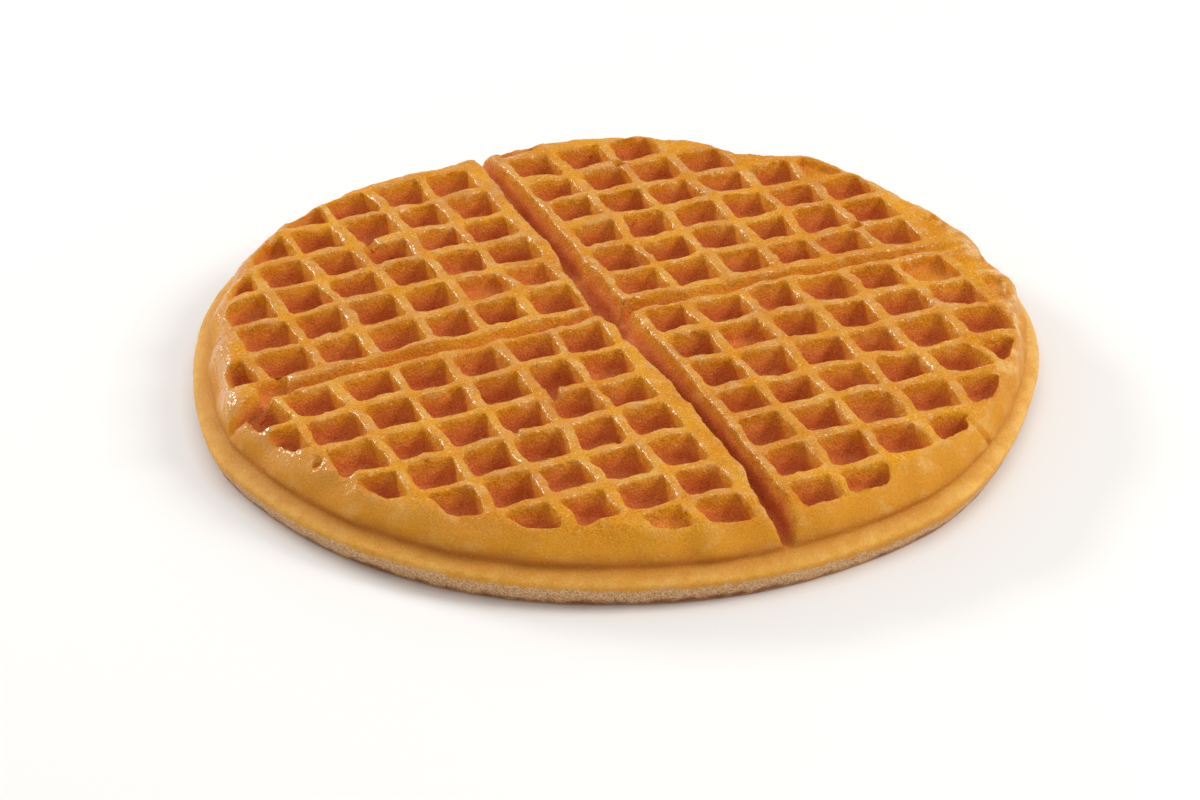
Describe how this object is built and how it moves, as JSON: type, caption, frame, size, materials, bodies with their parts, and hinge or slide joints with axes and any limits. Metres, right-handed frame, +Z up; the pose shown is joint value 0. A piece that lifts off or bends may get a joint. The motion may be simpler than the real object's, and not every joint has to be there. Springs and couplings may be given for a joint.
{
  "type": "round waffle",
  "caption": "Round baked waffle in joined quarters: square tapered pockets on both faces, cross grooves between the quarters, a sloped upper rim and a rounded flange below it.",
  "frame": {"origin": "middle of the underside's bounding box, on the surface that the waffle rests on", "axes": "+Z up through the pocketed top, +X along the narrow cross groove, +Y along the wide cross groove"},
  "size_m": [0.176, 0.1718, 0.0169],
  "materials": {
    "baked_crust": "golden-brown baked batter, buttery sheen, darker in the pockets"
  },
  "bodies": {
    "root": {"waffle": "baked_crust"}
  },
  "joints": []
}
